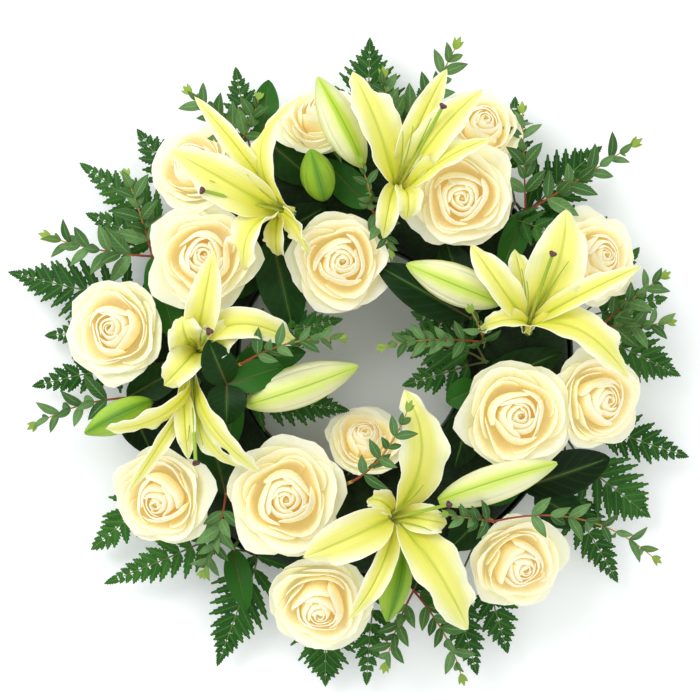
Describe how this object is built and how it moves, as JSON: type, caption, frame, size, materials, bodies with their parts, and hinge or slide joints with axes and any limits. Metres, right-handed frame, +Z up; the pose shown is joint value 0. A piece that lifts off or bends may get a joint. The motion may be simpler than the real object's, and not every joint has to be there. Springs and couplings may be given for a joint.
{
  "type": "funeral wreath",
  "caption": "Round funeral wreath of cream roses and pale yellow lilies with fern, eucalyptus and broad leaves on a foam ring in a tray, with an open centre.",
  "frame": {"origin": "on the surface that the tray rests on, under the middle of the wreath's outline", "axes": "+Z up out of the flowers, +X to the picture's right and +Y to its top"},
  "size_m": [0.4428, 0.4208, 0.1226],
  "materials": {
    "tray": "matt dark green",
    "foam": "matt wet foam",
    "rose": "soft petal, cream",
    "lily": "satin petal, pale yellow",
    "bud": "satin, cream and green",
    "green_bud": "satin, fresh green",
    "salal": "glossy dark leaf",
    "eucalyptus": "matt grey-green leaf",
    "fern": "satin green leaf"
  },
  "bodies": {
    "root": {"tray": "tray", "foam_ring": "foam", "rose_inner_left": "rose", "rose_inner_top": "rose", "rose_upper_right": "rose", "rose_right": "rose", "rose_lower_left": "rose", "rose_far_upper_left": "rose", "rose_top": "rose", "rose_far_upper_right": "rose", "rose_far_right": "rose", "rose_far_right_lower": "rose", "rose_lower_right": "rose", "rose_bottom": "rose", "rose_far_lower_left": "rose", "rose_far_left": "rose", "rose_hole_bottom": "rose", "lily_upper_left": "lily", "lily_upper_right": "lily", "lily_right": "lily", "lily_left": "lily", "lily_left_lower": "lily", "lily_bottom": "lily", "bud_hole_left": "bud", "bud_right": "bud", "bud_top": "bud", "bud_lower_right": "bud", "bud_green_top": "green_bud", "bud_green_left": "green_bud", "bud_green_bottom": "green_bud", "salal_inner_left": "salal", "salal_left": "salal", "salal_right": "salal", "salal_hole_right": "salal", "salal_lower_right": "salal", "salal_top_left": "salal", "eucalyptus_left": "eucalyptus", "eucalyptus_upper_left": "eucalyptus", "eucalyptus_top": "eucalyptus", "eucalyptus_upper_right": "eucalyptus", "eucalyptus_centre_top": "eucalyptus", "eucalyptus_right": "eucalyptus", "eucalyptus_hole_right": "eucalyptus", "eucalyptus_hole_left": "eucalyptus", "eucalyptus_far_left": "eucalyptus", "eucalyptus_lower_left": "eucalyptus", "eucalyptus_hole_bottom": "eucalyptus", "eucalyptus_lower_right": "eucalyptus", "eucalyptus_bottom": "eucalyptus", "fern_left": "fern", "fern_upper_left": "fern", "fern_top_left": "fern", "fern_top": "fern", "fern_upper_right": "fern", "fern_right": "fern", "fern_lower_right": "fern", "fern_bottom_right": "fern", "fern_bottom": "fern", "fern_lower_left": "fern", "fern_hole_right": "fern"}
  },
  "joints": []
}
